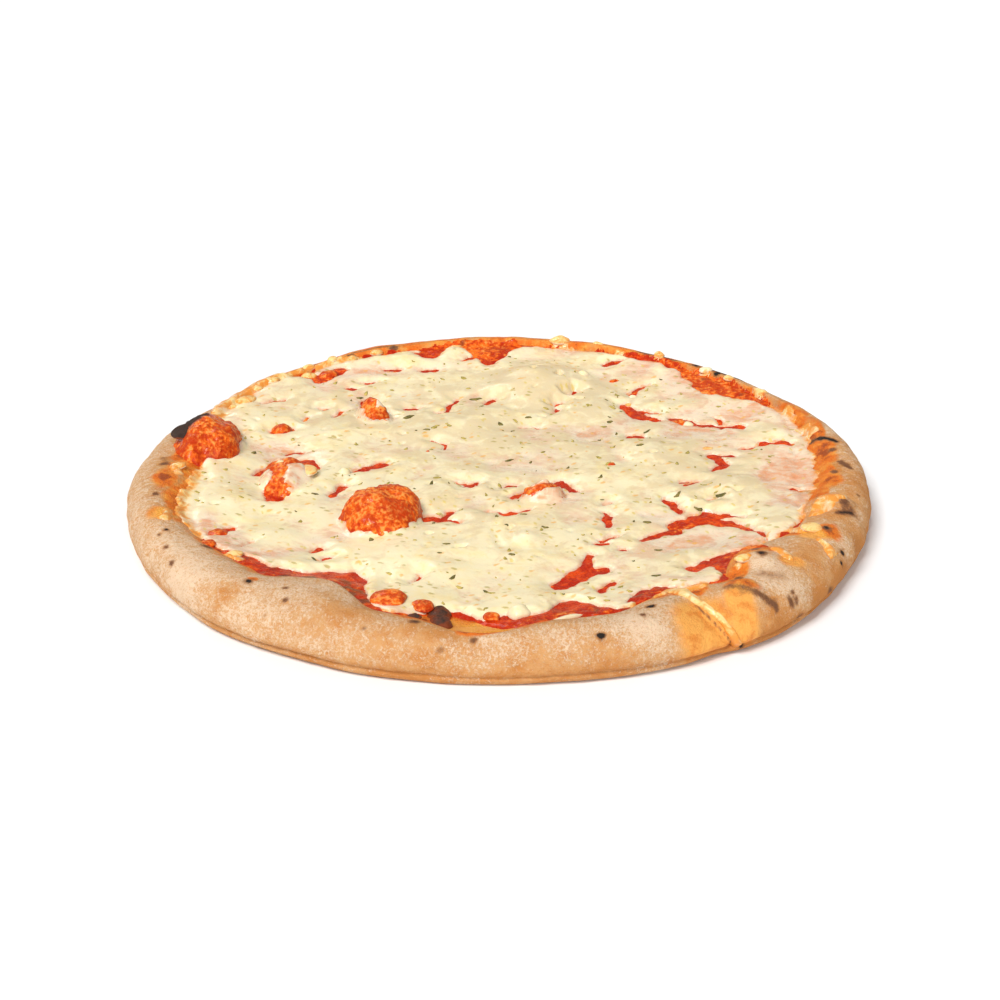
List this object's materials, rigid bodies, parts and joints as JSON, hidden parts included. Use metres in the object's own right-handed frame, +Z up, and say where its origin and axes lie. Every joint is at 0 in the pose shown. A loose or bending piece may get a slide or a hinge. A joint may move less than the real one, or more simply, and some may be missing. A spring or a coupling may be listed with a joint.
{
  "type": "margherita pizza",
  "caption": "Whole round baked pizza: dough base with a raised uneven rim and bubbles, tomato sauce over it and a sheet of melted cheese with gaps. Lies flat.",
  "frame": {"origin": "middle of the flat underside, on the surface that the pizza lies on", "axes": "+Z up through the thickness; -Y towards the front, the side nearest the viewer; +X to the viewer's right"},
  "size_m": [0.2893, 0.2876, 0.0247],
  "materials": {
    "crust": "matt baked dough, floury, browned in spots",
    "sauce": "moist cooked tomato",
    "cheese": "soft oily sheen"
  },
  "bodies": {
    "root": {"crust": "crust", "tomato_sauce": "sauce", "melted_cheese": "cheese"}
  },
  "joints": []
}
